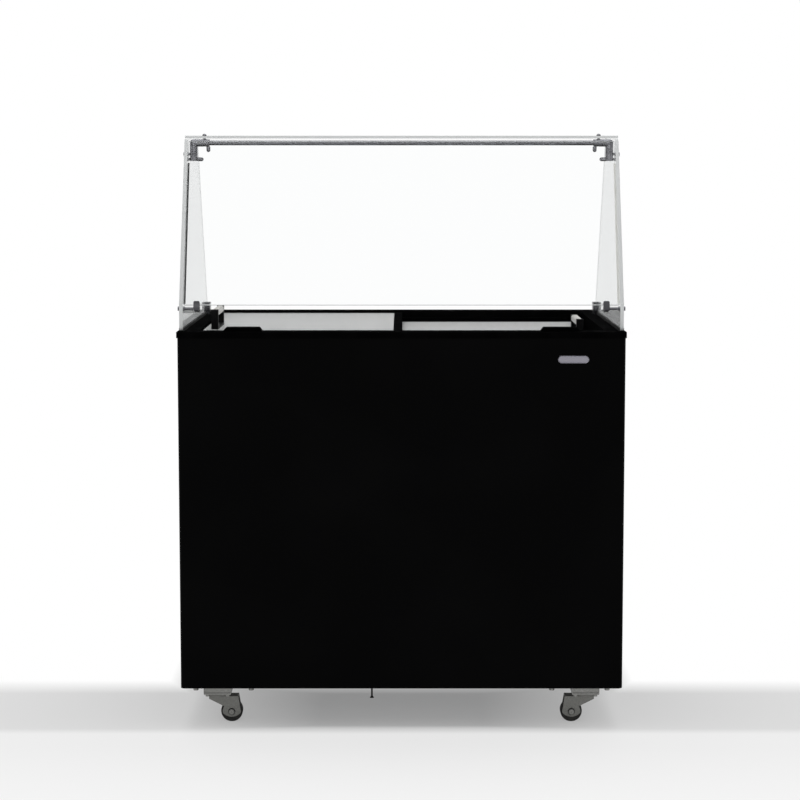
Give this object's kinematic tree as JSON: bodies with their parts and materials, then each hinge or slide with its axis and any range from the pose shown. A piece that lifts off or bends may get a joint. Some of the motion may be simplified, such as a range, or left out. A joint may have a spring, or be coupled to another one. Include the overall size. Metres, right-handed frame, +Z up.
{
  "type": "chest freezer",
  "caption": "Serving chest freezer on castors with sliding flat glass lids under a slanted glass sneeze guard on a steel rail.",
  "frame": {"origin": "on the floor, in the middle of the footprint", "axes": "+X to the right seen from the front, +Y from front to back, +Z up"},
  "size_m": [1.015, 0.645, 1.3575],
  "materials": {
    "black_steel": "satin",
    "grey_steel": "satin",
    "galvanised_steel": "satin",
    "foam": "matte",
    "liner_aluminium": "satin",
    "black_frame_plastic": "satin",
    "badge_metal": "satin",
    "copper_tube": "satin",
    "aluminium": "satin",
    "guard_glass": "polished",
    "lid_glass": "polished",
    "seal_rubber": "matte",
    "polished_steel": "polished",
    "compressor_black": "gloss",
    "dark_plastic": "satin",
    "motor_metal": "satin",
    "white_plastic": "satin",
    "light_grip_plastic": "satin",
    "castor_steel": "satin",
    "hub_plastic": "satin",
    "tyre_rubber": "matte"
  },
  "bodies": {
    "cabinet": {"front_panel": "black_steel", "side_panel_left": "black_steel", "side_panel_right": "black_steel", "rear_panel": "grey_steel", "base_plate": "grey_steel", "base_rails": "galvanised_steel", "base_screws": "galvanised_steel", "foam_insulation": "foam", "inner_liner": "liner_aluminium", "evaporator_coil": "aluminium", "top_frame": "black_frame_plastic", "rim_blocks": "black_frame_plastic", "badge_plate": "badge_metal", "drain_pipe": "white_plastic", "vent_grilles": "black_frame_plastic", "side_glass_left": "guard_glass", "side_glass_right": "guard_glass", "front_glass": "guard_glass", "top_glass": "guard_glass", "glass_channels": "seal_rubber", "top_rail": "polished_steel", "corner_elbows": "polished_steel", "guard_fasteners": "polished_steel", "glass_clamps": "polished_steel", "compressor": "compressor_black", "compressor_grommets": "seal_rubber", "start_relay": "dark_plastic", "condenser": "aluminium", "fan_shroud": "dark_plastic", "fan_motor": "motor_metal", "filter_drier": "copper_tube", "refrigerant_pipes": "copper_tube", "control_panel": "dark_plastic", "thermostat": "dark_plastic", "cable_gland": "dark_plastic", "castor_plates": "galvanised_steel"},
    "upper_lid": {"upper_lid_frame": "black_frame_plastic", "upper_lid_glass": "lid_glass", "upper_lid_handle": "dark_plastic", "upper_lid_grip": "light_grip_plastic"},
    "lower_lid": {"lower_lid_frame": "black_frame_plastic", "lower_lid_glass": "lid_glass", "lower_lid_handle": "dark_plastic", "lower_lid_grip": "light_grip_plastic"},
    "fan_blades": {"fan_blades": "dark_plastic"},
    "thermostat_knob": {"thermostat_knob": "dark_plastic"},
    "rocker_switch": {"rocker_switch": "dark_plastic"},
    "drain_plug": {"drain_plug": "white_plastic"},
    "castor_front_left_fork": {"castor_front_left_fork": "castor_steel"},
    "castor_front_left_wheel": {"castor_front_left_hub": "hub_plastic", "castor_front_left_tyre": "tyre_rubber"},
    "castor_front_right_fork": {"castor_front_right_fork": "castor_steel"},
    "castor_front_right_wheel": {"castor_front_right_hub": "hub_plastic", "castor_front_right_tyre": "tyre_rubber"},
    "castor_rear_left_fork": {"castor_rear_left_fork": "castor_steel"},
    "castor_rear_left_wheel": {"castor_rear_left_hub": "hub_plastic", "castor_rear_left_tyre": "tyre_rubber"},
    "castor_rear_right_fork": {"castor_rear_right_fork": "castor_steel"},
    "castor_rear_right_wheel": {"castor_rear_right_hub": "hub_plastic", "castor_rear_right_tyre": "tyre_rubber"}
  },
  "joints": [
    {"name": "upper_lid_slide", "type": "slide", "parent": "cabinet", "child": "upper_lid", "axis": [1, 0, 0], "range_m": [0, 0.39]},
    {"name": "lower_lid_slide", "type": "slide", "parent": "cabinet", "child": "lower_lid", "axis": [1, 0, 0], "range_m": [-0.39, 0.018]},
    {"name": "drain_plug_pull", "type": "slide", "parent": "cabinet", "child": "drain_plug", "axis": [0, 0, -1], "range_m": [0, 0.03]},
    {"name": "fan_spin", "type": "hinge", "parent": "cabinet", "child": "fan_blades", "pos_m": [0.36, -0.146, 0.1965], "axis": [0, 1, 0], "continuous": true},
    {"name": "thermostat_turn", "type": "hinge", "parent": "cabinet", "child": "thermostat_knob", "pos_m": [0.32, 0.3, 0.338], "axis": [0, 1, 0], "range_deg": [-135, 135]},
    {"name": "power_rocker", "type": "hinge", "parent": "cabinet", "child": "rocker_switch", "pos_m": [0.362, 0.294, 0.338], "axis": [1, 0, 0], "range_deg": [-8, 8]},
    {"name": "castor_front_left_swivel", "type": "hinge", "parent": "cabinet", "child": "castor_front_left_fork", "pos_m": [-0.424, -0.26, 0.06], "axis": [0, 0, 1], "continuous": true},
    {"name": "castor_front_left_roll", "type": "hinge", "parent": "castor_front_left_fork", "child": "castor_front_left_wheel", "pos_m": [-0.393, -0.26, 0.025], "axis": [0, 1, 0], "continuous": true},
    {"name": "castor_front_right_swivel", "type": "hinge", "parent": "cabinet", "child": "castor_front_right_fork", "pos_m": [0.424, -0.26, 0.06], "axis": [0, 0, 1], "continuous": true},
    {"name": "castor_front_right_roll", "type": "hinge", "parent": "castor_front_right_fork", "child": "castor_front_right_wheel", "pos_m": [0.393, -0.26, 0.025], "axis": [0, 1, 0], "continuous": true},
    {"name": "castor_rear_left_swivel", "type": "hinge", "parent": "cabinet", "child": "castor_rear_left_fork", "pos_m": [-0.424, 0.26, 0.06], "axis": [0, 0, 1], "continuous": true},
    {"name": "castor_rear_left_roll", "type": "hinge", "parent": "castor_rear_left_fork", "child": "castor_rear_left_wheel", "pos_m": [-0.393, 0.26, 0.025], "axis": [0, 1, 0], "continuous": true},
    {"name": "castor_rear_right_swivel", "type": "hinge", "parent": "cabinet", "child": "castor_rear_right_fork", "pos_m": [0.424, 0.26, 0.06], "axis": [0, 0, 1], "continuous": true},
    {"name": "castor_rear_right_roll", "type": "hinge", "parent": "castor_rear_right_fork", "child": "castor_rear_right_wheel", "pos_m": [0.393, 0.26, 0.025], "axis": [0, 1, 0], "continuous": true}
  ]
}
